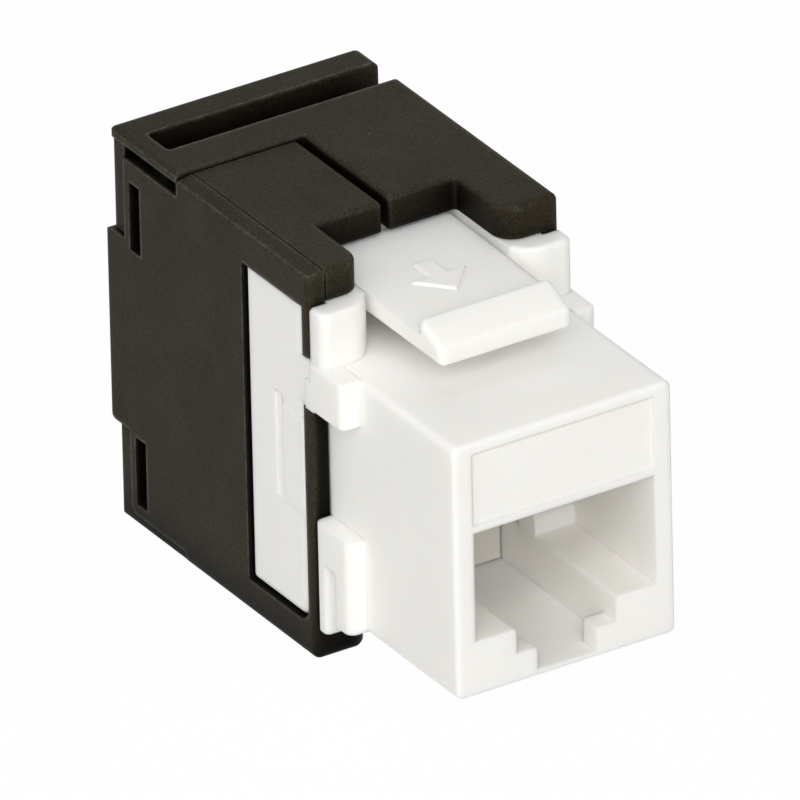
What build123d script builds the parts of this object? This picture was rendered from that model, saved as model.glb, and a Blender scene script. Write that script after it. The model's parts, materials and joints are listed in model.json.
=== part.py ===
"""Keystone jack: a white plug housing with a sprung panel latch, clasped by two black half shells.

Millimetres. X runs across the jack, Y from the plug face to the back, Z up. While the pieces are drawn,
Y is the depth behind the plug face and Z the height above the base. Each piece is moved at the end, so
that the origin lies under the middle of the whole jack.
"""
from build123d import *
import os

# Clearances, and how far added stock runs into its neighbour and cuts run past a face
seat_gap = 0.1
slide_gap = 0.15
snap_gap = 0.12
bite = 0.2
past = 1.0

# Plug housing
body_width = 14.5
body_height = 16.1
body_depth = 13.2
body_rise = 3.15
body_round = 0.45
face_round = 0.3
front_wall = 3.1
side_wall = 1.2
roof_wall = 1.15
floor_wall = 0.45

# Plug port
port_width = 12.0
port_height = 6.9
port_rise = 3.5
shoulder_width = 6.6
shoulder_drop = 1.6
shoulder_round = 0.25
tongue_width = 3.9
catch_depth = 1.45
stop_depth = 8.5
stop_length = 1.8
stop_height = 1.4
stop_round = 0.5

# Bare label recess above the port
label_depth = 0.15
label_margin = 0.45
label_top_margin = 0.7

# Latch arm
latch_width = 8.8
latch_front = 5.75
latch_gap = 1.75
latch_thickness = 1.5
latch_slope = 0.2
latch_side_gap = 0.35
latch_headroom = 0.3
wedge_length = 2.35
wedge_height = 0.9
wedge_drop = 1.03
wedge_round = 0.4
pivot_depth = 18.75
pivot_gap = 0.08

# Half shells
shell_width = 16.7
shell_wall = 1.1
deck_wall = 2.1
base_wall = 2.0
tile_drop = 0.22
tile_length = 14.1
edge_round = 0.3
outer_round = 0.45
prong_inner = 4.65
prong_length = 5.1
prong_round = 1.4
centre_gap = 0.45
seam_width = 0.08
strip_slope = 0.2
jamb_depth = 0.75

# Rear of the shells
plate_length = 2.7
plate_edge = 0.6
plate_round = 0.2
slot_width = 2.35
slot_depth = 3.0
slot_end = 7.1
rear_wall = 2.2
rear_round = 0.5
tongue_proud = 0.6
tongue_rise = 6.0
tongue_height = 12.35
tongue_round = 0.8
strip_inset = 0.22
ridge_inset = 0.08
wall_end_inset = 1.6
plate_relief = 0.75
cable_radius = 3.2
cable_height = 12.4

# Snaps between the shells
snap_length = 1.1
snap_height = 4.35
snap_from_end = 0.6
snap_low_margin = 0.75
snap_top_margin = 1.35
snap_reach = 0.5
snap_arm = 0.75
snap_arm_margin = 0.2

# Stops on the housing's sides
tab_proud = 0.15
tab_front = 9.8
tab_height = 3.0
tab_overlap = 0.55
tab_heel_height = 1.8
tab_round = 0.45
clip_proud = 0.1
clip_front = 9.5
clip_height = 6.05
clip_lobe = 1.65
clip_groove = 0.8
clip_groove_depth = 0.7
clip_groove_height = 3.6
clip_flare = 0.2
clip_toe = 0.2
clip_heel = 0.8
clip_round = 0.55
ear_front = 11.85
ear_inner_round = 1.8
ear_outer_round = 0.6

# Fixed hook under the housing
hook_front = 5.9
hook_length = 2.2
hook_drop = 1.4
hook_lip = 0.5

# Side cheeks of the housing, whose pads fill the shells' windows
cheek_wall = 1.0
cheek_length = 6.2
pad_top_gap = 0.35
pad_round = 0.7
pad_corner = 1.0
pad_inset = 0.05
strip_length = 2.3
strip_rise = 9.0
strip_height = 6.2
strip_proud = 0.12
groove_width = 0.85
groove_depth = 0.25
groove_head = 0.5

# Terminal block and wire channels
block_inset = 0.2
block_tail = 4.1
wire_count = 4
wire_margin = 2.3
wire_pitch = 4.2
wire_channel = 2.3
wire_channel_depth = 2.45
pusher_reach = 1.4
pusher_height = 1.8
pusher_gap = 0.6

# Terminal blades
blade_setback = 4.2
blade_thickness = 0.4
blade_height = 3.0
blade_length = 3.3
blade_slot = 0.4
blade_slot_depth = 2.1
blade_mouth = 0.35
blade_point = 0.5
blade_tip_inset = 0.15
leg_width = 0.6

# Circuit board
board_thickness = 1.2
board_side_gap = 0.3
board_margin = 1.8
board_gap = 0.15
hole_ratio = 1.6

# Jack contacts and their carrier
contact_count = 8
contact_pitch = 1.016
contact_width = 0.36
contact_thickness = 0.3
contact_bend = 0.7
contact_front_gap = 0.55
contact_angle = 33.0
contact_tip_gap = 1.2
contact_cover = 1.9
carrier_slot = 0.6
carrier_rear_wall = 1.0

# Places that follow from the sizes above
body_top = body_rise + body_height
body_half = body_width / 2
latch_under = body_top + latch_gap
latch_top = latch_under + latch_thickness
pivot_height = latch_under + latch_thickness / 2
latch_side = latch_width / 2 + latch_side_gap
deck_under = latch_top + latch_headroom
shell_height = deck_under + deck_wall
shell_front = body_depth + seat_gap
shell_half = shell_width / 2
shell_inner = shell_half - shell_wall
tile_top = shell_height - tile_drop
recess_back = shell_front + prong_length
port_floor = body_rise + port_rise
port_top = port_floor + port_height
step_floor = port_floor - shoulder_drop
channel_floor = body_rise + floor_wall
cavity_top = body_top - roof_wall
saddle_top = deck_under - seat_gap
saddle_side = shell_inner - seat_gap
cheek_inner = saddle_side - cheek_wall
cheek_front = shell_front + jamb_depth + seat_gap / 2
cheek_end = cheek_front + cheek_length
cheek_low = base_wall + 2 * seat_gap
pad_outer = shell_half - pad_inset
pad_top = saddle_top - pad_top_gap
plate_front = shell_front + tile_length
plate_end = plate_front + plate_length
plate_under = shell_height - plate_edge
rear_front = plate_end + slot_width
rear_end = rear_front + rear_wall
overall_depth = rear_end + tongue_proud
wall_end = rear_end - wall_end_inset
tile_end = plate_front - seat_gap
relief_top = plate_under - plate_relief
relief_low = plate_edge + seat_gap
snap_end = wall_end - snap_from_end
snap_places = (relief_low + snap_low_margin, relief_top - snap_top_margin - snap_height)
tongue_top = tongue_rise + tongue_height
blade_depth = cheek_end + blade_setback
blade_back = blade_depth + blade_thickness
block_low = base_wall + block_inset
block_top = deck_under - block_inset
block_side = shell_inner - block_inset
block_front = body_depth + 2 * board_gap + board_thickness
block_end = blade_back + block_tail
blade_tip = block_side - blade_tip_inset
blade_root = blade_tip - blade_length
board_front = body_depth + board_gap
carrier_half = body_half - side_wall - slide_gap
carrier_end = body_depth - seat_gap
carrier_back = carrier_end - carrier_rear_wall
contact_row = cavity_top - contact_cover
contact_bend_depth = front_wall + contact_front_gap + contact_bend
contact_bend_height = contact_row - contact_bend
contact_tip_depth = carrier_back - contact_tip_gap


def block(x0, x1, y0, y1, z0, z1):
    """A box between two opposite corners."""
    return Pos((x0 + x1) / 2, (y0 + y1) / 2, (z0 + z1) / 2) * Box(x1 - x0, y1 - y0, z1 - z0)


def outline(points, rounds=()):
    """A flat outline whose listed corners are rounded: rounds holds corner numbers with radii."""
    face = make_face(Polyline(*points, close=True))
    for number, radius in rounds:
        corner = face.vertices().sort_by_distance(points[number])[0]
        face = fillet(corner, radius)
    return face


def prism_z(points, z0, z1, rounds=()):
    """A plan outline raised from z0 to z1."""
    return extrude(Plane.XY.offset(z0) * outline(points, rounds), amount=z1 - z0)


def prism_x(points, x0, x1, rounds=()):
    """A side outline of depth and height, drawn across from x0 to x1."""
    return extrude(Plane.YZ.offset(x0) * outline(points, rounds), amount=x1 - x0)


def prism_y(points, y0, y1, rounds=()):
    """A front outline of width and height, drawn back from y0 to y1."""
    plane = Plane(origin=(0, y0, 0), x_dir=(1, 0, 0), z_dir=(0, -1, 0))
    return extrude(plane * outline(points, rounds), amount=y0 - y1)


def cross_bar(radius, length, y, z):
    """A round bar that lies across the jack."""
    return Pos(0, y, z) * Rot(0, 90, 0) * Cylinder(radius, length)


def both_sides(solid):
    """A solid with its mirror image on the jack's other side."""
    return solid + mirror(solid, about=Plane.YZ)


def wire_heights():
    """Heights of the wire channels, lowest first."""
    return [block_low + wire_margin + wire_pitch * index for index in range(wire_count)]


def contact_places():
    """Places across the jack of the contacts, left to right."""
    return [contact_pitch * (index - (contact_count - 1) / 2) for index in range(contact_count)]


def make_body():
    """The outer block of the plug housing, with its soft edges."""
    solid = block(-body_half, body_half, 0, body_depth, body_rise, body_top)
    solid = fillet(solid.edges().filter_by(Axis.Y), body_round)
    front = solid.faces().sort_by(Axis.Y)[0]
    return fillet(front.edges(), face_round)


def make_tab():
    """The right upper tab, with the web and heel that reach back to the cheek's pad."""
    outer = shell_half + tab_proud
    low = body_top - tab_height
    back = body_depth + tab_overlap
    tab = prism_z([(body_half - bite, tab_front), (outer, tab_front), (outer, body_depth),
                   (body_half - bite, body_depth)],
                  low, body_top, [(1, tab_round)])
    tab = fillet(tab.edges().group_by(Axis.X)[-1], bite)
    heel = prism_z([(body_half - bite, body_depth - tab_round), (outer, body_depth - tab_round),
                    (outer, back), (body_half - bite, back)],
                   low, low + tab_heel_height, [(2, bite)])
    web = block(cheek_inner, pad_outer, body_depth - bite, cheek_front + pad_round, low, body_top)
    return tab + heel + web


def make_clip():
    """The right lower clip: one block with a groove that parts it into two lobes below."""
    outer = shell_half + clip_proud
    top = body_rise + clip_height
    heel = body_rise - clip_heel
    toe = body_rise + clip_toe
    groove_front = clip_front + clip_lobe
    groove_end = groove_front + clip_groove
    clip = prism_z([(body_half - bite, clip_front), (outer, clip_front), (outer, carrier_end),
                    (body_half - bite, carrier_end)],
                   heel, top, [(1, clip_round), (2, clip_round)])
    clip -= block(0, outer + past, 0, groove_end, 0, toe)
    root = outer - clip_groove_depth
    neck = outer - clip_flare
    clip -= prism_z([(root, groove_front), (neck, groove_front), (outer, groove_front - clip_flare),
                     (outer, groove_end + clip_flare), (neck, groove_end), (root, groove_end)],
                    0, body_rise + clip_groove_height)
    return clip


def make_ear():
    """The right ear beside the latch arm, which runs back into the saddle."""
    back = shell_front + pad_corner
    ear = prism_z([(latch_side, back), (latch_side, ear_front), (shell_half, ear_front),
                   (shell_half, body_depth), (saddle_side, body_depth), (saddle_side, back)],
                  body_top - face_round, saddle_top, [(1, ear_inner_round), (2, ear_outer_round)])
    top = ear.faces().sort_by(Axis.Z)[-1]
    return fillet(top.edges().filter_by(lambda edge: edge.center().Y < body_depth - bite), edge_round)


def make_cheek():
    """The right cheek: a wall behind the housing, with the pad that fills the shell's window."""
    wall = block(cheek_inner, saddle_side, body_depth - bite, cheek_end, cheek_low, saddle_top)
    pad = prism_x([(cheek_front, cheek_low), (cheek_end, cheek_low), (cheek_end, pad_top),
                   (cheek_front, pad_top)],
                  saddle_side - bite, pad_outer, [(0, pad_corner), (1, edge_round)])
    front_edge = pad.edges().filter_by(Axis.Z).group_by(Axis.X)[-1].sort_by(Axis.Y)[0]
    pad = fillet(front_edge, pad_round)
    strip_end = cheek_front + strip_length
    strip = block(saddle_side, pad_outer + strip_proud, cheek_front, strip_end, strip_rise,
                  strip_rise + strip_height)
    strip = fillet(strip.edges().group_by(Axis.X)[-1], strip_proud)
    groove = block(pad_outer - groove_depth, pad_outer + past, strip_end, strip_end + groove_width,
                   strip_rise, strip_rise + strip_height + groove_head)
    return wall + pad + strip - groove


def make_saddle():
    """The bridge between the cheeks, with the latch arm's channel and the seat of its root."""
    solid = block(-saddle_side, saddle_side, body_depth - bite, cheek_end, cavity_top, saddle_top)
    solid -= block(-latch_side, latch_side, 0, pivot_depth, body_top, shell_height)
    seat = latch_thickness / 2 + pivot_gap
    solid -= cross_bar(seat, 2 * latch_side, pivot_depth, pivot_height)
    return solid - block(-latch_side, latch_side, pivot_depth, pivot_depth + seat, pivot_height, shell_height)


def make_port():
    """The space of the plug port, with its stepped floor and the rear cavity for the contacts."""
    half = port_width / 2
    shoulder = shoulder_width / 2
    tongue = tongue_width / 2
    inner_half = body_half - side_wall
    mouth = [(-half, port_top), (-half, port_floor), (-shoulder, port_floor), (-shoulder, step_floor),
             (-tongue, step_floor), (-tongue, channel_floor), (tongue, channel_floor),
             (tongue, step_floor), (shoulder, step_floor), (shoulder, port_floor), (half, port_floor),
             (half, port_top)]
    mouth_rounds = [(2, shoulder_round), (4, bite), (7, bite), (9, shoulder_round)]
    space = prism_y(mouth, -past, catch_depth, mouth_rounds)
    deep = [(-half, port_top), (-half, port_floor), (-shoulder, port_floor), (-shoulder, channel_floor),
            (shoulder, channel_floor), (shoulder, port_floor), (half, port_floor), (half, port_top)]
    deep_rounds = [(2, shoulder_round), (5, shoulder_round)]
    space += prism_y(deep, catch_depth, body_depth + past, deep_rounds)
    space += block(-inner_half, inner_half, front_wall, body_depth + past, port_top - bite, cavity_top)
    stop_end = stop_depth + stop_length
    stop = prism_x([(stop_depth, port_floor - bite), (stop_end, port_floor - bite),
                    (stop_end, port_floor + stop_height), (stop_depth, port_floor + stop_height)],
                   shoulder, half + bite, [(3, stop_round)])
    return space - both_sides(stop)


def make_hook():
    """The fixed hook under the housing, which holds the panel's lower edge."""
    end = hook_front + hook_length
    low = body_rise - hook_drop
    profile = [(hook_front, body_rise + bite), (end - hook_lip, low), (end, low), (end, body_rise + bite)]
    return prism_x(profile, -latch_width / 2, latch_width / 2, [(1, bite)])


def make_front_housing():
    """The white plug housing: one moulding with its stops, ears, cheeks, saddle and fixed hook."""
    solid = make_body() + both_sides(make_tab() + make_clip() + make_ear() + make_cheek())
    solid += make_saddle() + make_hook()
    solid -= make_port()
    label_half = port_width / 2
    return solid - block(-label_half, label_half, -past, label_depth, port_top + label_margin,
                         body_top - label_top_margin)


def make_latch_arm():
    """The white latch arm: a sprung arm with a wedge at its free end and a round bar at its root."""
    half = latch_width / 2
    wedge_back = latch_front + wedge_length
    wedge_foot = latch_top - latch_slope
    wedge_top = wedge_foot + wedge_height
    profile = [(latch_front, latch_under), (pivot_depth, latch_under), (pivot_depth, latch_top),
               (wedge_back, wedge_foot), (wedge_back, wedge_top), (latch_front, wedge_top - wedge_drop)]
    arm = prism_x(profile, -half, half, [(0, bite), (4, bite), (5, wedge_round)])
    front_corners = arm.edges().filter_by(Axis.Z).sort_by(Axis.Y)[:2]
    arm = fillet(front_corners, wedge_round)
    return arm + cross_bar(latch_thickness / 2, latch_width, pivot_depth, pivot_height)


def make_contact_carrier():
    """The insert over the port: a comb for the contacts, with the port's back wall."""
    bottom = port_top + seat_gap
    back_half = port_width / 2 - seat_gap
    foot_half = shoulder_width / 2 - seat_gap
    solid = block(-carrier_half, carrier_half, front_wall + seat_gap, carrier_end, bottom,
                  cavity_top - seat_gap)
    solid += block(-back_half, back_half, carrier_back, carrier_end, port_floor + seat_gap, bottom + bite)
    solid += block(-foot_half, foot_half, carrier_back, carrier_end, channel_floor + seat_gap,
                   port_floor + bite)
    for x in contact_places():
        half = carrier_slot / 2
        solid -= block(x - half, x + half, front_wall, carrier_back - bite, bottom - past,
                       contact_row + contact_thickness)
        solid -= block(x - half, x + half, front_wall, body_depth, contact_row - contact_thickness,
                       contact_row + contact_thickness)
    return solid


def make_contact(x):
    """One sprung contact: a bend at the front, then a straight run down to its free tip."""
    arc = CenterArc((0, 0), contact_bend, 90, 180 - contact_angle)
    foot = arc @ 1
    lean = arc % 1
    run = (contact_tip_depth - contact_bend_depth - foot.X) / lean.X
    place = Plane(origin=(x, contact_bend_depth, contact_bend_height), x_dir=(0, 1, 0), z_dir=(1, 0, 0))
    path = place * (Curve() + [arc, Line(foot, foot + lean * run)])
    section = Plane(origin=path @ 0, x_dir=(1, 0, 0), z_dir=path % 0)
    return sweep(section * Rectangle(contact_width, contact_thickness), path=Wire(path.edges()))


def make_contact_tails():
    """The fixed tails of the contacts, from their bends back into the circuit board."""
    half_width = contact_width / 2
    half_thickness = contact_thickness / 2
    front = contact_bend_depth + seat_gap / 2
    tails = [
        block(x - half_width, x + half_width, front, board_front + board_thickness,
              contact_row - half_thickness, contact_row + half_thickness)
        for x in contact_places()
    ]
    return Compound(tails)


def make_circuit_board():
    """The upright circuit board between the contacts and the terminal blades."""
    half = cheek_inner - board_side_gap
    back = board_front + board_thickness
    solid = block(-half, half, board_front, back, block_low + board_margin, cavity_top - seat_gap)
    for x in contact_places():
        hole = Pos(x, board_front + board_thickness / 2, contact_row) * Rot(90, 0, 0)
        solid -= hole * Cylinder(contact_width / 2 * hole_ratio, board_thickness + past)
    play = snap_gap
    for height in wire_heights():
        slot = block(blade_root - play, blade_root + leg_width + play, board_front - past, back + past,
                     height - leg_width / 2 - play, height + leg_width / 2 + play)
        solid -= both_sides(slot)
    return solid


def make_terminal_block():
    """The block behind the board, with open wire channels along its sides."""
    front_half = cheek_inner - slide_gap
    step = cheek_end + slide_gap
    solid = block(-front_half, front_half, block_front, step + bite, block_low, cavity_top - slide_gap)
    solid += block(-block_side, block_side, step, block_end, block_low, block_top)
    play = slide_gap
    half_leg = leg_width / 2 + play
    half_blade = blade_height / 2 + play
    for height in wire_heights():
        channel = block(block_side - wire_channel_depth, block_side + past, cheek_end, block_end + past,
                        height - wire_channel / 2, height + wire_channel / 2)
        slot = block(blade_root - play, blade_tip + past, blade_depth - play, blade_back + play,
                     height - half_blade, height + half_blade)
        leg = block(blade_root - play, blade_root + leg_width + play, block_front - past, blade_depth,
                    height - half_leg, height + half_leg)
        solid -= both_sides(channel + slot + leg)
    return solid


def make_blade(side, height):
    """One terminal blade: a slotted fork across the wire channel, with a leg into the board."""
    half = blade_height / 2
    gap = blade_slot / 2
    slot_root = blade_tip - blade_slot_depth
    shoulder = blade_tip - blade_point
    mouth = gap + blade_mouth
    profile = [(blade_root, -half), (shoulder, -half), (blade_tip, -mouth), (shoulder, -gap),
               (slot_root, -gap), (slot_root, gap), (shoulder, gap), (blade_tip, mouth),
               (shoulder, half), (blade_root, half)]
    profile = [(x, height + z) for x, z in profile]
    fork = prism_y(profile, blade_depth, blade_back)
    leg = block(blade_root, blade_root + leg_width, board_front, blade_depth + bite,
                height - leg_width / 2, height + leg_width / 2)
    blade = fork + leg
    return blade if side > 0 else mirror(blade, about=Plane.YZ)


def make_deck(z0, z1, end, outer_face):
    """One deck of the right half, with its prong; outer_face is 1 for a top and -1 for a base."""
    inner = centre_gap / 2
    plan = [(shell_half, shell_front), (prong_inner, shell_front), (prong_inner, recess_back),
            (inner, recess_back), (inner, end), (shell_half, end)]
    deck = prism_z(plan, z0, z1, [(1, prong_round), (2, bite), (3, bite)])
    face = deck.faces().sort_by(Axis.Z)[-1 if outer_face > 0 else 0]
    inner_edges = face.edges().filter_by(
        lambda edge: edge.center().Y < end - bite and edge.center().X < shell_half - bite)
    return fillet(inner_edges, edge_round)


def shell_openings():
    """What the right half's side wall leaves open: the pad's window and the tab's notch."""
    front = cheek_front - seat_gap / 2
    back = cheek_end + seat_gap
    low = cheek_low - seat_gap
    high = pad_top + seat_gap
    window = prism_x([(front, low), (back, low), (back, high), (front, high)],
                     shell_inner - past, shell_half + past, [(0, pad_corner)])
    notch = block(shell_inner - past, shell_half + past, 0, cheek_front,
                  body_top - tab_height - seat_gap, body_top + seat_gap)
    return window + notch


def shell_envelope(end, top):
    """The rounded outer form that a half shell keeps within."""
    solid = block(-shell_half, shell_half, shell_front, end, 0, top)
    return fillet(solid.edges(), outer_round)


def make_pushers():
    """Ribs on the right half's inside, which press the wires into the blades."""
    inner = block_side - pusher_reach
    outer = shell_inner + bite
    ribs = []
    for height in wire_heights():
        low = height - pusher_height / 2
        high = height + pusher_height / 2
        ribs.append(block(inner, outer, cheek_end + past, blade_depth - pusher_gap, low, high))
        ribs.append(block(inner, outer, blade_back + pusher_gap, block_end - pusher_gap, low, high))
    return ribs


def make_left_shell():
    """The black left half: side wall with window, snap slots and rear tongue, and two decks."""
    side = [(shell_front, 0), (tile_end, 0), (tile_end, relief_low), (wall_end, relief_low),
            (wall_end, tongue_rise), (overall_depth, tongue_rise), (overall_depth, tongue_top),
            (wall_end, tongue_top), (wall_end, relief_top), (tile_end, relief_top),
            (tile_end, tile_top), (shell_front, tile_top)]
    solid = prism_x(side, shell_inner, shell_half,
                    [(1, edge_round), (3, rear_round), (5, tongue_round), (6, tongue_round), (8, edge_round)])
    solid += make_deck(deck_under, tile_top, tile_end, 1) + make_deck(0, base_wall, tile_end, -1)
    solid -= prism_y([(shell_inner, tile_top), (shell_half + shell_wall, tile_top - 2 * strip_slope),
                      (shell_half + shell_wall, shell_height), (shell_inner, shell_height)],
                     shell_front - past, tile_end + past)
    seam = block(shell_inner - seam_width, shell_inner, shell_front - past, tile_end + past,
                 tile_top - seam_width, shell_height)
    seam += block(shell_inner - seam_width, shell_inner, shell_front - past, shell_front + seam_width,
                  deck_under - past, shell_height)
    solid -= seam + shell_openings()
    for low in snap_places:
        solid -= block(shell_inner - past, shell_half + past, snap_end - snap_length, snap_end,
                       low, low + snap_height)
    for rib in make_pushers():
        solid += rib
    return mirror(solid & shell_envelope(overall_depth, tile_top), about=Plane.YZ)


def make_rear(left, inboard):
    """The rear plate, the ridge behind its slot, the rear wall and the strips of the left side."""
    ledge = left + ridge_inset
    strip = left + strip_inset
    right = shell_inner + bite
    joined = plate_end + bite
    plate_side = [(plate_front, plate_under), (joined, plate_under), (joined, shell_height),
                  (plate_front, shell_height)]
    deck_side = [(plate_front, deck_under), (plate_end, deck_under), (plate_end, shell_height),
                 (plate_front, shell_height)]
    rear = prism_x(plate_side, ledge, right, [(3, plate_round)])
    rear += prism_x(deck_side, inboard, right, [(3, plate_round)])
    rear += prism_z([(ledge, plate_end), (right, plate_end), (right, rear_end), (ledge, rear_end)],
                    plate_under, shell_height, [(3, rear_round)])
    wall = prism_z([(strip, rear_front), (right, rear_front), (right, rear_end), (strip, rear_end)],
                   0, shell_height, [(3, rear_round)])
    wall -= block(left - past, inboard, 0, wall_end + seat_gap, plate_edge, plate_under)
    wall -= block(left - past, inboard, 0, overall_depth + past,
                  tongue_rise - seat_gap, tongue_top + seat_gap)
    base = prism_z([(strip, plate_front), (right, plate_front), (right, rear_front + bite),
                    (strip, rear_front + bite)],
                   0, plate_edge, [(0, edge_round)])
    base += block(inboard, right, plate_front, rear_front + bite, 0, base_wall)
    return rear + wall + base


def make_snaps(inboard):
    """The arms and barbs that reach from the rear wall into the left half's slots."""
    front = snap_end - snap_length
    snaps = []
    for low in snap_places:
        high = low + snap_height
        snaps.append(block(inboard, inboard + snap_arm, front - 2 * snap_arm_margin, rear_front + bite,
                           low - snap_arm_margin, high + snap_arm_margin))
        snaps.append(block(inboard - snap_reach, inboard + bite, front + snap_gap, snap_end - snap_gap,
                           low + snap_gap, high - snap_gap))
    return snaps


def make_right_shell():
    """The black right half, which also carries the rear wall, its slot and the strips of the left side."""
    left = -shell_half
    inboard = seat_gap - shell_inner
    solid = block(shell_inner, shell_half, shell_front, rear_end, 0, shell_height)
    solid += make_deck(deck_under, shell_height, plate_end, 1) + make_deck(0, base_wall, plate_end, -1)
    solid += make_rear(left, inboard)
    for snap in make_snaps(inboard):
        solid += snap
    slot_low = shell_height - slot_depth
    slot_right = shell_half + past
    slot = [(-slot_end, plate_end), (slot_right, plate_end), (slot_right, rear_front), (-slot_end, rear_front)]
    solid -= prism_z(slot, slot_low, shell_height + past, [(0, edge_round), (3, edge_round)])
    hole = Pos(0, rear_front + rear_wall / 2, cable_height) * Rot(90, 0, 0)
    solid -= hole * Cylinder(cable_radius, rear_wall + past)
    solid -= shell_openings()
    for rib in make_pushers():
        solid += rib
    return solid & shell_envelope(rear_end, shell_height)


def make_nodes():
    """Every piece of the jack by its name."""
    nodes = {
        "front_housing": make_front_housing(),
        "latch_arm": make_latch_arm(),
        "contact_carrier": make_contact_carrier(),
        "contact_tails": make_contact_tails(),
        "circuit_board": make_circuit_board(),
        "terminal_block": make_terminal_block(),
        "left_shell": make_left_shell(),
        "right_shell": make_right_shell(),
    }
    for number, x in enumerate(contact_places(), start=1):
        nodes[f"jack_contact_{number}"] = make_contact(x)
    terminals = [(side, height) for side in (-1, 1) for height in wire_heights()]
    for number, (side, height) in enumerate(terminals, start=1):
        nodes[f"terminal_blade_{number}"] = make_blade(side, height)
    return nodes


os.makedirs("parts", exist_ok=True)
for name, solid in make_nodes().items():
    export_step(Pos(0, -overall_depth / 2, 0) * solid, f"parts/{name}.step")
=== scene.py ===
"""The look of a keystone jack: its finishes, an arrow on the latch, a studio and a camera."""
import json
import logging
import math
from dataclasses import dataclass, replace
from enum import Enum
from typing import Any

import bmesh
import bpy
from mathutils import Matrix, Vector


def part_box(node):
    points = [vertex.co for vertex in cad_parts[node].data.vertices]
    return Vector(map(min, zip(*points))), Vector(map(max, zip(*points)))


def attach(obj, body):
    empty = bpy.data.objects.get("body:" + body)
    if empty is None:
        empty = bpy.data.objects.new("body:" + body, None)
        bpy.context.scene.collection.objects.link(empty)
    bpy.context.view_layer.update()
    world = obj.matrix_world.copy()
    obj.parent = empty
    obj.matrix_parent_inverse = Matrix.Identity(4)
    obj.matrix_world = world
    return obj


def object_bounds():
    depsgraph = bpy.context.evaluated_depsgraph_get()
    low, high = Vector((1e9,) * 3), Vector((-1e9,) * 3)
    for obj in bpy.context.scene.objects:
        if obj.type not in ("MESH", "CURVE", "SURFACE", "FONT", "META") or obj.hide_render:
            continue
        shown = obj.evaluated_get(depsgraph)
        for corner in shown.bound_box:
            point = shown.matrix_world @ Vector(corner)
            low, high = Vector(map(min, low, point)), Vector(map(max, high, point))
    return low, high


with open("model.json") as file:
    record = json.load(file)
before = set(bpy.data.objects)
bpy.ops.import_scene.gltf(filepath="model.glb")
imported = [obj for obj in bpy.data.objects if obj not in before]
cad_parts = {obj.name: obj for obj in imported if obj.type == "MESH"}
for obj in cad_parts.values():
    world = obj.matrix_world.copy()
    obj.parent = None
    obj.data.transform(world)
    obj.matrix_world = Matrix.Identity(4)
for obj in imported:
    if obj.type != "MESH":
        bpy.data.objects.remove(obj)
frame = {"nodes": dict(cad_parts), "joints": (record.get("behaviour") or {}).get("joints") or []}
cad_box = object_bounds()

MM = 0.001
WHITE = (1.0, 1.0, 1.0, 1.0)
log = logging.getLogger("keystone_jack")

Colour = tuple[float, float, float]
Tree = bpy.types.NodeTree
Node = bpy.types.Node
Socket = bpy.types.NodeSocket
Item = bpy.types.Object
Material = bpy.types.Material


class SocketKind(Enum):
    """The kinds of socket that the shared effects have."""

    NUMBER = "NodeSocketFloat"
    COLOUR = "NodeSocketColor"
    DIRECTION = "NodeSocketVector"


@dataclass(frozen=True)
class Port:
    """One input or output of a shared effect."""

    name: str
    kind: SocketKind
    default: Any = None


class Canvas:
    """Places and joins the nodes of one material or effect."""

    def __init__(self, tree: Tree) -> None:
        """Starts on a tree that is emptied first."""
        self.tree = tree
        self.tree.nodes.clear()

    def add(self, kind: str, settings: dict[str, Any] | None = None, **inputs: Any) -> Node:
        """Places one node.

        Args:
            kind: the node's type, without its ShaderNode prefix.
            settings: properties of the node itself.
            inputs: values or sockets by name, with _ for a space, or in_0 for a place.

        Returns:
            The new node.
        """
        node = self.tree.nodes.new("ShaderNode" + kind)
        for name, value in (settings or {}).items():
            setattr(node, name, value)
        for name, value in inputs.items():
            key = int(name[3:]) if name.startswith("in_") else name.replace("_", " ")
            self.feed(node.inputs[key], value)
        return node

    def feed(self, target: Socket, value: Any) -> None:
        """Sets an input to a plain value, or joins a socket to it.

        Args:
            target: the input.
            value: the value or socket.
        """
        if isinstance(value, bpy.types.NodeSocket):
            self.tree.links.new(value, target)
        else:
            target.default_value = value

    def maths(self, operation: str, first: Any, second: Any = 0.0, clamp: bool = False) -> Socket:
        """Places a Math node, clamped to 0 and 1 where asked, and gives its result's socket."""
        settings = {"operation": operation, "use_clamp": clamp}
        return self.add("Math", settings, in_0=first, in_1=second).outputs[0]

    def ramp(
        self, value: Any, low: float, high: float, to_low: float = 0.0, to_high: float = 1.0
    ) -> Socket:
        """Spreads a range of values over another range, clamped.

        Args:
            value: the value or socket to spread.
            low: where the range starts.
            high: where the range ends.
            to_low: the result at its start.
            to_high: the result at its end.

        Returns:
            The result's socket.
        """
        node = self.add(
            "MapRange", {"clamp": True},
            in_0=value, in_1=low, in_2=high, in_3=to_low, in_4=to_high)
        return node.outputs[0]

    def blend(self, share: Any, first: Any, second: Any) -> Socket:
        """Mixes two colours by the share of the second, and gives the result's socket."""
        settings = {"data_type": "RGBA", "clamp_factor": True}
        return self.add("Mix", settings, in_0=share, in_6=first, in_7=second).outputs[2]

    def multiply(self, first: Any, second: Any) -> Socket:
        """Multiplies two colours and gives the result's socket."""
        settings = {"data_type": "RGBA", "blend_type": "MULTIPLY"}
        return self.add("Mix", settings, in_0=1.0, in_6=first, in_7=second).outputs[2]


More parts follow.
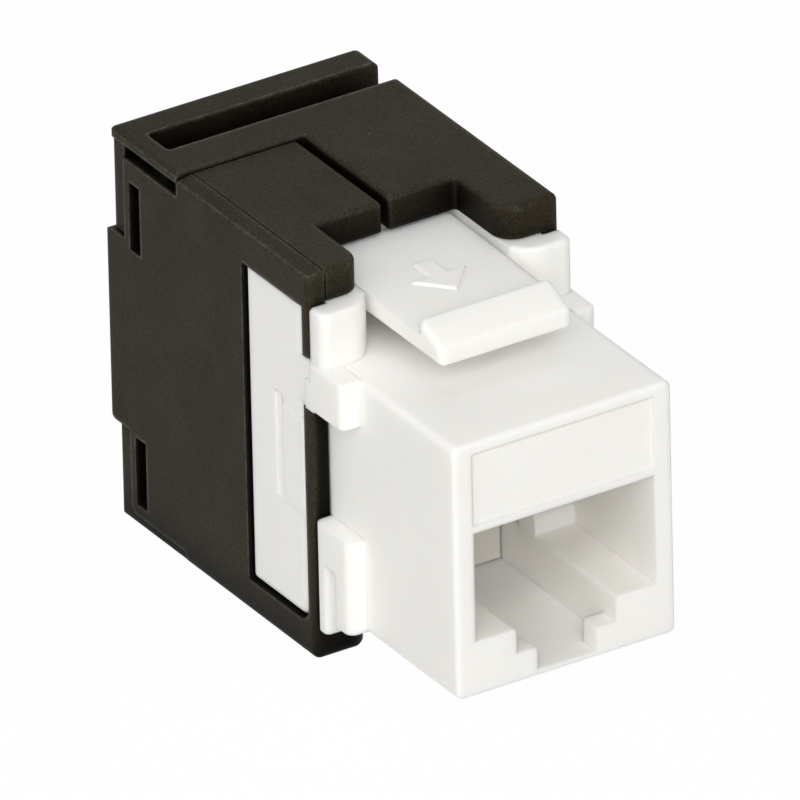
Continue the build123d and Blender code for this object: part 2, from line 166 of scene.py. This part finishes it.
class Effect:
    """A surface effect that several materials share, as one node group."""

    name = ""
    inputs: tuple[Port, ...] = ()
    outputs: tuple[Port, ...] = ()

    def __init__(self) -> None:
        """Builds the group with its sockets and nodes."""
        self.group = bpy.data.node_groups.new(self.name, "ShaderNodeTree")
        for port in self.inputs:
            socket = self.group.interface.new_socket(
                port.name, in_out="INPUT", socket_type=port.kind.value)
            socket.default_value = port.default
        for port in self.outputs:
            self.group.interface.new_socket(
                port.name, in_out="OUTPUT", socket_type=port.kind.value)
        canvas = Canvas(self.group)
        entry = self.group.nodes.new("NodeGroupInput")
        leave = self.group.nodes.new("NodeGroupOutput")
        given = {port.name: entry.outputs[port.name] for port in self.inputs}
        for name, socket in self.draw(canvas, given).items():
            canvas.feed(leave.inputs[name], socket)

    def draw(self, canvas: Canvas, given: dict[str, Socket]) -> dict[str, Socket]:
        """Draws the effect from its inputs, and gives the sockets of its outputs by name."""
        raise NotImplementedError

    def place(self, canvas: Canvas, **values: Any) -> Node:
        """Places the effect in a material.

        Args:
            canvas: the material's canvas.
            values: values or sockets for the effect's inputs, by name.

        Returns:
            The group node.
        """
        node = canvas.tree.nodes.new("ShaderNodeGroup")
        node.node_tree = self.group
        for name, value in values.items():
            canvas.feed(node.inputs[name], value)
        return node


class MouldedGrain(Effect):
    """The fine spark-eroded texture that a mould leaves on plastic."""

    name = "moulded_grain"
    inputs = (Port("Scale", SocketKind.NUMBER, 6000.0), Port("Pits", SocketKind.NUMBER, 0.4))
    outputs = (
        Port("Height", SocketKind.NUMBER),
        Port("Gloss", SocketKind.NUMBER),
        Port("Mottle", SocketKind.NUMBER),
    )
    cloud_scale = 420.0
    speck_span = (0.30, 0.70)

    def draw(self, canvas: Canvas, given: dict[str, Socket]) -> dict[str, Socket]:
        """Draws fine noise with shallow pits, and drifts of gloss and tone around 0.

        Args:
            canvas: the group's canvas.
            given: the group's inputs by name.

        Returns:
            The sockets that feed the outputs, by name.
        """
        place = canvas.add("TexCoord").outputs["Object"]
        fine = canvas.add("TexNoise", Vector=place, Scale=given["Scale"], Detail=3.0, Roughness=0.6)
        pits = canvas.add(
            "TexVoronoi", {"feature": "SMOOTH_F1"}, Vector=place, Scale=given["Scale"])
        pit_share = canvas.maths("MULTIPLY", pits.outputs["Distance"], given["Pits"])
        height = canvas.maths("ADD", fine.outputs[0], pit_share)
        slow = canvas.add("TexNoise", Vector=place, Scale=self.cloud_scale, Detail=2.0)
        drift = canvas.maths("SUBTRACT", slow.outputs[0], 0.5)
        speck = canvas.ramp(fine.outputs[0], *self.speck_span, -1.0, 1.0)
        return {"Height": height, "Gloss": drift, "Mottle": speck}


class BrokenEdge(Effect):
    """The small round that a mould leaves on every edge, and a mask of where handling rubs it and
    where a pale painted highlight is laid along it.
    """

    name = "broken_edge"
    inputs = (Port("Radius", SocketKind.NUMBER, 0.15 * MM), Port("Breakup", SocketKind.NUMBER, 0.5))
    outputs = (Port("Normal", SocketKind.DIRECTION), Port("Mask", SocketKind.NUMBER))
    turn_span = (0.999, 0.90)
    patch_scale = 1600.0
    patch_span = (0.38, 0.62)

    def draw(self, canvas: Canvas, given: dict[str, Socket]) -> dict[str, Socket]:
        """Rounds the normal near edges, and masks where it differs from the true one.

        Args:
            canvas: the group's canvas.
            given: the group's inputs by name.

        Returns:
            The sockets that feed the outputs, by name.
        """
        rounded = canvas.add("Bevel", {"samples": 6}, Radius=given["Radius"]).outputs[0]
        true = canvas.add("NewGeometry").outputs["Normal"]
        match = canvas.add("VectorMath", {"operation": "DOT_PRODUCT"}, in_0=rounded, in_1=true)
        edge = canvas.ramp(match.outputs["Value"], *self.turn_span)
        place = canvas.add("TexCoord").outputs["Object"]
        noise = canvas.add("TexNoise", Vector=place, Scale=self.patch_scale, Detail=4.0)
        broken = canvas.ramp(noise.outputs[0], *self.patch_span)
        kept = canvas.maths("SUBTRACT", 1.0, canvas.maths("MULTIPLY", broken, given["Breakup"]))
        return {"Normal": rounded, "Mask": canvas.maths("MULTIPLY", edge, kept, clamp=True)}


class FlowTint(Effect):
    """The slight drift of tone that molten plastic keeps as it fills a mould."""

    name = "flow_tint"
    inputs = (
        Port("Base", SocketKind.COLOUR, WHITE),
        Port("Drift", SocketKind.COLOUR, WHITE),
        Port("Scale", SocketKind.NUMBER, 180.0),
    )
    outputs = (Port("Colour", SocketKind.COLOUR),)
    cloud_span = (0.35, 0.68)

    def draw(self, canvas: Canvas, given: dict[str, Socket]) -> dict[str, Socket]:
        """Blends the base towards the drift colour in slow warped clouds.

        Args:
            canvas: the group's canvas.
            given: the group's inputs by name.

        Returns:
            The sockets that feed the outputs, by name.
        """
        place = canvas.add("TexCoord").outputs["Object"]
        cloud = canvas.add(
            "TexNoise", Vector=place, Scale=given["Scale"], Detail=3.0, Distortion=0.8)
        share = canvas.ramp(cloud.outputs[0], *self.cloud_span)
        return {"Colour": canvas.blend(share, given["Base"], given["Drift"])}


class Dust(Effect):
    """Sparse pale motes that lie on dark plastic."""

    name = "dust_motes"
    inputs = (Port("Scale", SocketKind.NUMBER, 1500.0), Port("Amount", SocketKind.NUMBER, 0.1))
    outputs = (Port("Mask", SocketKind.NUMBER),)
    mote_span = (0.12, 0.06)

    def draw(self, canvas: Canvas, given: dict[str, Socket]) -> dict[str, Socket]:
        """Keeps a few cells of a Voronoi pattern and shrinks each to a mote.

        Args:
            canvas: the group's canvas.
            given: the group's inputs by name.

        Returns:
            The sockets that feed the outputs, by name.
        """
        place = canvas.add("TexCoord").outputs["Object"]
        cells = canvas.add("TexVoronoi", Vector=place, Scale=given["Scale"])
        mote = canvas.ramp(cells.outputs["Distance"], *self.mote_span)
        draw = canvas.add("SeparateColor", in_0=cells.outputs["Color"]).outputs[0]
        chosen = canvas.maths("LESS_THAN", draw, given["Amount"])
        return {"Mask": canvas.maths("MULTIPLY", mote, chosen)}


class PaintedHollowLight(Effect):
    """A mask of how closed in a spot lies in a slot or a corner, used to paint shade there, and on
    white plastic pale painted light.
    """

    name = "painted_hollow_light"
    inputs = (Port("Reach", SocketKind.NUMBER, 5.0 * MM),)
    outputs = (Port("Mask", SocketKind.NUMBER),)
    open_span = (0.82, 0.46)

    def draw(self, canvas: Canvas, given: dict[str, Socket]) -> dict[str, Socket]:
        """Turns the open share of the space around a spot into a mask of what is closed in."""
        space = canvas.add("AmbientOcclusion", {"samples": 8}, Distance=given["Reach"])
        return {"Mask": canvas.ramp(space.outputs["AO"], *self.open_span)}


class DrawnStreaks(Effect):
    """Fine lines that drawing or stamping leaves along metal."""

    name = "drawn_streaks"
    inputs = (Port("Scale", SocketKind.NUMBER, 3000.0), Port("Stretch", SocketKind.NUMBER, 0.04))
    outputs = (Port("Height", SocketKind.NUMBER), Port("Gloss", SocketKind.NUMBER))

    def draw(self, canvas: Canvas, given: dict[str, Socket]) -> dict[str, Socket]:
        """Stretches noise along the jack's depth.

        Args:
            canvas: the group's canvas.
            given: the group's inputs by name.

        Returns:
            The sockets that feed the outputs, by name.
        """
        place = canvas.add("TexCoord").outputs["Object"]
        squeeze = canvas.add("CombineXYZ", X=1.0, Y=given["Stretch"], Z=1.0).outputs[0]
        long = canvas.add("VectorMath", {"operation": "MULTIPLY"}, in_0=place, in_1=squeeze)
        lines = canvas.add(
            "TexNoise", Vector=long.outputs[0], Scale=given["Scale"], Detail=2.0).outputs[0]
        return {"Height": lines, "Gloss": canvas.maths("SUBTRACT", lines, 0.5)}


@dataclass
class Effects:
    """All shared effects, built once."""

    grain: MouldedGrain
    edge: BrokenEdge
    flow: FlowTint
    dust: Dust
    # painted shade and painted light for hollows
    painted_hollow_light: PaintedHollowLight
    streaks: DrawnStreaks

    @classmethod
    def build(cls) -> "Effects":
        """Builds every shared effect."""
        return cls(MouldedGrain(), BrokenEdge(), FlowTint(), Dust(), PaintedHollowLight(), DrawnStreaks())


def with_alpha(colour: Colour) -> tuple[float, float, float, float]:
    """A colour with full alpha."""
    return (*colour, 1.0)


def blank(name: str) -> tuple[Material, Canvas]:
    """Makes a material with no nodes.

    Args:
        name: the material's name.

    Returns:
        The material and a canvas on its tree.
    """
    made = bpy.data.materials.new(name)
    made.use_nodes = True
    return made, Canvas(made.node_tree)


def surface(
    canvas: Canvas, colour: Socket, rough: Socket, height: Socket, depth: float, edge: Node
) -> Node:
    """Lays a Principled surface with bump, and joins it to the material's output.

    Args:
        canvas: the material's canvas.
        colour: the base colour.
        rough: the roughness.
        height: the bump's height, from 0 to 1.
        depth: how deep the bump is, in metres.
        edge: the placed broken edge, whose normal the bump starts from.

    Returns:
        The Principled node.
    """
    bump = canvas.add(
        "Bump", Strength=1.0, Distance=depth, Height=height, Normal=edge.outputs["Normal"])
    shader = canvas.add(
        "BsdfPrincipled", Base_Color=colour, Roughness=rough, Normal=bump.outputs[0])
    canvas.add("OutputMaterial", Surface=shader.outputs[0])
    return shader


@dataclass(frozen=True)
class PlasticFinish:
    """A moulded plastic: tone, sheen, grain, worn edges with a pale painted highlight, hollows with
    painted shade on dark plastic and pale painted light on white, and dust.
    """

    name: str
    tone: Colour
    drift: Colour
    # the tone that edges blend to: wear, and on plastics a painted highlight
    wear_and_highlight_tone: Colour
    roughness: float
    specular: float
    grain_scale: float
    grain_depth: float
    edge_round: float
    # how far edges blend to that tone of wear and painted highlight
    wear_and_highlight: float
    glow: float = 0.0
    mottle: float = 0.0
    # share and tone of the painted shade laid in hollows; a pale tone paints light there instead
    painted_hollow_light: float = 0.0
    painted_hollow_tone: Colour = (0.002, 0.0018, 0.0015)
    dust: float = 0.0
    breakup: float = 0.55
    gloss_swing: float = 0.18
    rubbed_gloss: float = 0.08
    mote_share: float = 0.20
    mote_tone: Colour = (0.42, 0.40, 0.36)
    glow_radius: tuple[float, float, float] = (1.0, 0.86, 0.68)
    glow_depth: float = 1.5 * MM

    def material(self, effects: Effects) -> Material:
        """Builds the material.

        Args:
            effects: the shared effects.

        Returns:
            The finished material.
        """
        made, canvas = blank(self.name)
        edge = effects.edge.place(canvas, Radius=self.edge_round, Breakup=self.breakup)
        grain = effects.grain.place(canvas, Scale=self.grain_scale)
        colour = self.coloured(canvas, effects, edge.outputs["Mask"], grain.outputs["Mottle"])
        rough = canvas.maths("MULTIPLY", grain.outputs["Gloss"], self.gloss_swing)
        rough = canvas.maths("ADD", rough, self.roughness)
        rubbed = canvas.maths("MULTIPLY", edge.outputs["Mask"], self.rubbed_gloss)
        rough = canvas.maths("SUBTRACT", rough, rubbed, clamp=True)
        shader = surface(canvas, colour, rough, grain.outputs["Height"], self.grain_depth, edge)
        shader.inputs["Specular IOR Level"].default_value = self.specular
        shader.inputs["Subsurface Weight"].default_value = self.glow
        shader.inputs["Subsurface Radius"].default_value = self.glow_radius
        shader.inputs["Subsurface Scale"].default_value = self.glow_depth
        return made

    def coloured(self, canvas: Canvas, effects: Effects, edge: Socket, mottle: Socket) -> Socket:
        """Draws the plastic's colour.

        Args:
            canvas: the material's canvas.
            effects: the shared effects.
            edge: the mask of rubbed edges, which also lays a painted highlight.
            mottle: the grain's drift of tone.

        Returns:
            The colour's socket.
        """
        tone = effects.flow.place(
            canvas, Base=with_alpha(self.tone), Drift=with_alpha(self.drift))
        # edges blend to a paler tone: wear, and on plastics a painted highlight along rounded edges
        wear_and_highlight_share = canvas.maths("MULTIPLY", edge, self.wear_and_highlight)
        colour = canvas.blend(wear_and_highlight_share, tone.outputs["Colour"], with_alpha(self.wear_and_highlight_tone))
        if self.dust:
            motes = effects.dust.place(canvas, Amount=self.dust).outputs["Mask"]
            share = canvas.maths("MULTIPLY", motes, self.mote_share)
            colour = canvas.blend(share, colour, with_alpha(self.mote_tone))
        if self.mottle:
            speck = canvas.maths("ADD", canvas.maths("MULTIPLY", mottle, self.mottle), 1.0)
            grey = canvas.add("CombineColor", in_0=speck, in_1=speck, in_2=speck).outputs[0]
            colour = canvas.multiply(colour, grey)
        # painted light in hollows: an ambient-occlusion mask blends slots and corners to a
        # near-black painted shade, and on white to a pale warm painted light in place of light
        # through the walls
        if self.painted_hollow_light:
            depth = effects.painted_hollow_light.place(canvas).outputs["Mask"]
            share = canvas.maths("MULTIPLY", depth, self.painted_hollow_light)
            colour = canvas.blend(share, colour, with_alpha(self.painted_hollow_tone))
        return colour


@dataclass(frozen=True)
class MetalFinish:
    """A plated or tinned metal with drawn streaks and rubbed edges."""

    name: str
    tone: Colour
    wear_and_highlight_tone: Colour
    roughness: float
    streak_depth: float
    streak_scale: float = 9000.0
    gloss_swing: float = 0.25
    cloud_scale: float = 700.0
    edge_round: float = 0.05 * MM
    breakup: float = 0.4
    wear_and_highlight: float = 0.35

    def material(self, effects: Effects) -> Material:
        """Builds the material.

        Args:
            effects: the shared effects.

        Returns:
            The finished material.
        """
        made, canvas = blank(self.name)
        edge = effects.edge.place(canvas, Radius=self.edge_round, Breakup=self.breakup)
        tone = effects.flow.place(
            canvas, Base=with_alpha(self.tone), Drift=with_alpha(self.wear_and_highlight_tone),
            Scale=self.cloud_scale)
        share = canvas.maths("MULTIPLY", edge.outputs["Mask"], self.wear_and_highlight)
        colour = canvas.blend(share, tone.outputs["Colour"], with_alpha(self.wear_and_highlight_tone))
        streaks = effects.streaks.place(canvas, Scale=self.streak_scale)
        rough = canvas.maths("MULTIPLY", streaks.outputs["Gloss"], self.gloss_swing)
        rough = canvas.maths("ADD", rough, self.roughness, clamp=True)
        shader = surface(canvas, colour, rough, streaks.outputs["Height"], self.streak_depth, edge)
        shader.inputs["Metallic"].default_value = 1.0
        return made


@dataclass(frozen=True)
class BoardFinish:
    """A lacquered circuit board: glass weave under green lacquer, with raised tracks."""

    name: str
    lacquer: Colour
    track: Colour
    track_scale: float = 620.0
    track_edge: float = 0.12
    track_span: tuple[float, float] = (0.2, 0.8)
    cloud_scale: float = 300.0
    grain_scale: float = 2600.0
    grain_pits: float = 0.2
    grain_share: float = 0.3
    gloss_swing: float = 0.2
    roughness: float = 0.34
    edge_round: float = 0.08 * MM
    breakup: float = 0.4
    relief: float = 0.02 * MM

    def material(self, effects: Effects) -> Material:
        """Builds the material.

        Args:
            effects: the shared effects.

        Returns:
            The finished material.
        """
        made, canvas = blank(self.name)
        place = canvas.add("TexCoord").outputs["Object"]
        turned = canvas.add("Mapping", in_0=place, in_2=(math.radians(90), 0.0, 0.0)).outputs[0]
        grid = canvas.add(
            "TexBrick", {"offset": 0.5},
            Vector=turned, Scale=self.track_scale, Mortar_Size=self.track_edge)
        tracks = canvas.ramp(grid.outputs["Fac"], *self.track_span)
        lacquer = with_alpha(self.lacquer)
        tone = effects.flow.place(canvas, Base=lacquer, Drift=lacquer, Scale=self.cloud_scale)
        colour = canvas.blend(tracks, tone.outputs["Colour"], with_alpha(self.track))
        grain = effects.grain.place(canvas, Scale=self.grain_scale, Pits=self.grain_pits)
        weave = canvas.maths("MULTIPLY", grain.outputs["Height"], self.grain_share)
        height = canvas.maths("ADD", tracks, weave)
        swing = canvas.maths("MULTIPLY", grain.outputs["Gloss"], self.gloss_swing)
        rough = canvas.maths("ADD", swing, self.roughness, clamp=True)
        edge = effects.edge.place(canvas, Radius=self.edge_round, Breakup=self.breakup)
        surface(canvas, colour, rough, height, self.relief, edge)
        return made


# white: hollows painted pale and warm as painted light, edges slightly paler as wear and painted
# highlight
WHITE_PLASTIC = PlasticFinish(
    name="moulded_white", tone=(0.925, 0.908, 0.866), drift=(0.915, 0.896, 0.850),
    wear_and_highlight_tone=(0.93, 0.92, 0.89), roughness=0.40, specular=0.22, grain_scale=5200.0,
    grain_depth=0.004 * MM, edge_round=0.26 * MM, wear_and_highlight=0.08, glow=0.45, painted_hollow_light=0.95,
    painted_hollow_tone=(0.990, 0.968, 0.925),
)
WHITE_MARK = replace(
    WHITE_PLASTIC, name="moulded_white_mark", edge_round=0.10 * MM, wear_and_highlight=0.0, glow=0.0,
)
# black: hollows painted near black as painted shade, edges much paler as painted highlight with
# some wear
BLACK_PLASTIC = PlasticFinish(
    name="grained_black", tone=(0.0262, 0.0214, 0.0128), drift=(0.0325, 0.0268, 0.0166),
    wear_and_highlight_tone=(0.130, 0.121, 0.103), roughness=0.40, specular=0.035, grain_scale=7200.0,
    grain_depth=0.020 * MM, edge_round=0.40 * MM, wear_and_highlight=0.80, mottle=0.45, painted_hollow_light=0.95,
    dust=0.004,
)
BLOCK_PLASTIC = PlasticFinish(
    name="terminal_black", tone=(0.016, 0.0145, 0.012), drift=(0.02, 0.018, 0.015),
    wear_and_highlight_tone=(0.07, 0.066, 0.06), roughness=0.5, specular=0.2, grain_scale=6000.0,
    grain_depth=0.01 * MM, edge_round=0.1 * MM, wear_and_highlight=0.25,
)
CARRIER_PLASTIC = PlasticFinish(
    name="carrier_beige", tone=(0.80, 0.78, 0.73), drift=(0.78, 0.76, 0.71),
    wear_and_highlight_tone=(0.82, 0.80, 0.76), roughness=0.45, specular=0.4, grain_scale=6000.0,
    grain_depth=0.006 * MM, edge_round=0.1 * MM, wear_and_highlight=0.3,
)
GOLD_WIRE = MetalFinish(
    name="plated_gold", tone=(0.86, 0.62, 0.25), wear_and_highlight_tone=(0.78, 0.55, 0.30), roughness=0.2,
    streak_depth=0.002 * MM,
)
TINNED_BLADE = MetalFinish(
    name="tinned_blade", tone=(0.70, 0.70, 0.69), wear_and_highlight_tone=(0.55, 0.54, 0.52), roughness=0.33,
    streak_depth=0.004 * MM,
)
GREEN_BOARD = BoardFinish(
    name="lacquered_board", lacquer=(0.012, 0.10, 0.03), track=(0.03, 0.19, 0.06),
)


Finish = PlasticFinish | MetalFinish | BoardFinish


class Finishes:
    """The materials of the jack, each built once from its finish."""

    def __init__(self, effects: Effects) -> None:
        """Starts with the shared effects and no material built."""
        self.effects = effects
        self.made: dict[str, Material] = {}

    def of(self, finish: Finish) -> Material:
        """The material of a finish, built at its first use.

        Args:
            finish: the finish that is asked for.

        Returns:
            Its material.
        """
        if finish.name not in self.made:
            self.made[finish.name] = finish.material(self.effects)
        return self.made[finish.name]

    def dress(self, node: str, finish: Finish) -> None:
        """Gives a CAD node its finish and reports it."""
        cover(frame["nodes"][node], self.of(finish))
        log.info("dressed %s", node)


def cover(item: Item, material: Material) -> None:
    """Gives an object one material in place of all that it had."""
    item.data.materials.clear()
    item.data.materials.append(material)


def bring(name: str, data: Any) -> Item:
    """Brings a new object into the scene.

    Args:
        name: the object's name.
        data: its mesh, lamp or camera.

    Returns:
        The object.
    """
    item = bpy.data.objects.new(name, data)
    bpy.context.scene.collection.objects.link(item)
    return item


def filled(name: str, body: bmesh.types.BMesh) -> bpy.types.Mesh:
    """Turns a drawn body into a mesh and frees it.

    Args:
        name: the mesh's name.
        body: the drawn body.

    Returns:
        The mesh.
    """
    mesh = bpy.data.meshes.new(name)
    body.to_mesh(mesh)
    body.free()
    return mesh


@dataclass
class PlugFront:
    """The white moulding: plug housing and latch arm, with a raised arrow on the arm."""

    finishes: Finishes
    arrow_length: float = 3.6 * MM
    arrow_width: float = 3.6 * MM
    shaft_width: float = 1.2 * MM
    head_length: float = 1.9 * MM
    arrow_height: float = 0.18 * MM
    arrow_sink: float = 0.05 * MM
    rim_share: float = 0.55
    half_arm: float = 0.75 * MM
    arm_slope: float = 0.2 / 10.65
    arm_middle: float = -4.9 * MM

    def dress(self) -> None:
        """Finishes the housing and the latch arm and adds the arrow."""
        for name in ("front_housing", "latch_arm"):
            self.finishes.dress(name, WHITE_PLASTIC)
        self.raise_arrow()

    def arrow_outline(self) -> list[tuple[float, float]]:
        """The arrow's plan outline, pointing to the plug face, around its own middle.

        Returns:
            The outline's corners in order.
        """
        tip = -self.arrow_length / 2
        tail = self.arrow_length / 2
        neck = tip + self.head_length
        half = self.arrow_width / 2
        shaft = self.shaft_width / 2
        right = [(half, neck), (shaft, neck), (shaft, tail)]
        left = [(-x, y) for x, y in reversed(right)]
        return [(0.0, tip), *right, *left]

    def arrow_mesh(self) -> bpy.types.Mesh:
        """Builds the arrow with its rim rounded.

        Returns:
            The arrow's mesh.
        """
        body = bmesh.new()
        low = [body.verts.new((x, y, -self.arrow_sink)) for x, y in self.arrow_outline()]
        base = body.faces.new(low)
        grown = bmesh.ops.extrude_face_region(body, geom=[base])
        top_verts = [part for part in grown["geom"] if isinstance(part, bmesh.types.BMVert)]
        bmesh.ops.translate(body, verts=top_verts, vec=(0, 0, self.arrow_sink + self.arrow_height))
        bmesh.ops.recalc_face_normals(body, faces=body.faces)
        rim = [edge for edge in body.edges if all(vert in top_verts for vert in edge.verts)]
        bmesh.ops.bevel(
            body, geom=rim, offset=self.arrow_height * self.rim_share, segments=3,
            affect="EDGES", profile=0.5)
        return filled("latch_arrow", body)

    def raise_arrow(self) -> None:
        """Sets the low raised arrow on the latch arm, where it rides with the latch."""
        pivot = next(joint for joint in frame["joints"] if joint["name"] == "latch_press")["pos_m"]
        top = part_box("latch_arm")[1].z
        arm_top = pivot[2] + self.half_arm
        middle = arm_top - (pivot[1] - self.arm_middle) * self.arm_slope
        log.info("latch top %.2f mm, arrow seat %.2f mm", top / MM, middle / MM)
        arrow = bring("latch_arrow", self.arrow_mesh())
        tilt = Matrix.Rotation(math.atan(self.arm_slope), 4, "X")
        arrow.matrix_world = Matrix.Translation((0, self.arm_middle, middle)) @ tilt
        cover(arrow, self.finishes.of(WHITE_MARK))
        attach(arrow, "latch")


@dataclass
class RearShells:
    """The two black half shells."""

    finishes: Finishes

    def dress(self) -> None:
        """Finishes both half shells."""
        for name in ("left_shell", "right_shell"):
            self.finishes.dress(name, BLACK_PLASTIC)


@dataclass
class Inside:
    """What the jack holds: contacts, carrier, board, and the terminals in their block."""

    finishes: Finishes

    def dress(self) -> None:
        """Finishes every inner piece."""
        plans = (
            ("contact_carrier", CARRIER_PLASTIC),
            ("terminal_block", BLOCK_PLASTIC),
            ("circuit_board", GREEN_BOARD),
            ("contact_tails", GOLD_WIRE),
            ("jack_contact_", GOLD_WIRE),
            ("terminal_blade_", TINNED_BLADE),
        )
        for start, finish in plans:
            for name in self.named(start):
                self.finishes.dress(name, finish)

    def named(self, start: str) -> list[str]:
        """The nodes whose names begin with start, in order."""
        return sorted(name for name in frame["nodes"] if name.startswith(start))


@dataclass(frozen=True)
class Lamp:
    """A square soft lamp: its name, where it hangs in metres, the side of its square, its watts."""

    name: str
    place: tuple[float, float, float]
    size: float
    watts: float


@dataclass
class Studio:
    """A plain pale floor, a bright room and soft lamps."""

    lamps: tuple[Lamp, ...] = (
        Lamp("key", (-0.210, -0.440, 0.345), 0.44, 2.20),
        Lamp("overhead", (0.040, 0.120, 0.600), 0.50, 0.66),
        Lamp("left_fill", (-0.490, -0.140, 0.290), 0.44, 0.66),
    )
    aim_height: float = 12.0 * MM
    floor_size: float = 1.6
    floor_tone: Colour = (0.86, 0.86, 0.86)
    floor_white: float = 0.98
    room_strength: float = 0.29

    def build(self) -> None:
        """Builds the floor, the room and the lamps."""
        self.lay_floor()
        self.light_room()
        for lamp in self.lamps:
            self.hang(lamp)

    @staticmethod
    def seen_directly(canvas: Canvas) -> Socket:
        """Whether a ray comes from the camera, a gloss or glass.

        Args:
            canvas: the material's or the world's canvas.

        Returns:
            The answer's socket, 1 for such a ray and 0 for any other.
        """
        path = canvas.add("LightPath")
        seen = canvas.maths("ADD", path.outputs["Is Camera Ray"], path.outputs["Is Glossy Ray"])
        return canvas.maths("ADD", seen, path.outputs["Is Transmission Ray"], clamp=True)

    def lay_floor(self) -> None:
        """Lays the floor, which shows white and keeps a soft shadow."""
        body = bmesh.new()
        bmesh.ops.create_grid(body, x_segments=1, y_segments=1, size=self.floor_size / 2)
        floor = bring("floor", filled("floor", body))
        made, canvas = blank("pale_floor")
        matte = canvas.add("BsdfDiffuse", Color=with_alpha(self.floor_tone))
        white = canvas.add("Emission", Color=WHITE, Strength=1.0)
        share = canvas.maths("MULTIPLY", self.seen_directly(canvas), self.floor_white)
        mixed = canvas.add("MixShader", in_0=share, in_1=matte.outputs[0], in_2=white.outputs[0])
        canvas.add("OutputMaterial", Surface=mixed.outputs[0])
        cover(floor, made)

    def light_room(self) -> None:
        """Fills the room with even light and shows it white."""
        world = bpy.data.worlds.new("bright_room")
        bpy.context.scene.world = world
        world.use_nodes = True
        canvas = Canvas(world.node_tree)
        lit = canvas.add("Background", Color=WHITE, Strength=self.room_strength)
        shown = canvas.add("Background", Color=WHITE, Strength=1.0)
        seen = self.seen_directly(canvas)
        mixed = canvas.add("MixShader", in_0=seen, in_1=lit.outputs[0], in_2=shown.outputs[0])
        canvas.add("OutputWorld", Surface=mixed.outputs[0])

    def hang(self, lamp: Lamp) -> None:
        """Hangs a lamp that faces the jack.

        Args:
            lamp: the lamp to hang.
        """
        data = bpy.data.lights.new(lamp.name, "AREA")
        data.shape = "SQUARE"
        data.size = lamp.size
        data.energy = lamp.watts
        item = bring(lamp.name, data)
        item.location = lamp.place
        item.rotation_mode = "QUATERNION"
        aim = Vector((0, 0, self.aim_height)) - Vector(lamp.place)
        item.rotation_quaternion = aim.to_track_quat("-Z", "Y")


@dataclass
class PhotoCamera:
    """A camera at the photograph's angle: a long lens a good way off."""

    azimuth: float = 31.545
    elevation: float = 28.608
    roll: float = -1.333
    distance: float = 2000 * MM
    view_width: float = 45.10 * MM
    aim_depth: float = 17.0 * MM
    aim_height: float = 11.15 * MM
    slide_right: float = -0.1905 * MM
    slide_up: float = 1.25 * MM
    sensor: float = 36.0

    def build(self) -> None:
        """Places the camera and makes it the scene's own."""
        turn = math.radians(self.azimuth)
        tip = math.radians(self.elevation)
        reach = math.cos(tip)
        forward = Vector((math.sin(turn) * reach, math.cos(turn) * reach, -math.sin(tip)))
        level = Vector((math.cos(turn), -math.sin(turn), 0))
        rise = level.cross(forward)
        swing = math.radians(self.roll)
        right = math.cos(swing) * level + math.sin(swing) * rise
        up = math.cos(swing) * rise - math.sin(swing) * level
        middle = Vector((0.0, cad_box[0].y + self.aim_depth, self.aim_height))
        target = middle + self.slide_right * right + self.slide_up * up
        data = bpy.data.cameras.new("photo_camera")
        data.sensor_width = self.sensor
        data.lens = self.sensor * self.distance / self.view_width
        camera = bring("photo_camera", data)
        turned = Matrix((right, up, -forward)).transposed().to_4x4()
        camera.matrix_world = Matrix.Translation(target - self.distance * forward) @ turned
        bpy.context.scene.camera = camera


def main() -> None:
    """Builds the finishes, dresses the jack, and sets up the studio and the camera."""
    logging.basicConfig(level=logging.INFO, format="%(name)s: %(message)s")
    bpy.context.scene.view_settings.view_transform = "Standard"
    finishes = Finishes(Effects.build())
    PlugFront(finishes).dress()
    RearShells(finishes).dress()
    Inside(finishes).dress()
    Studio().build()
    PhotoCamera().build()


if __name__ == "__main__":
    main()
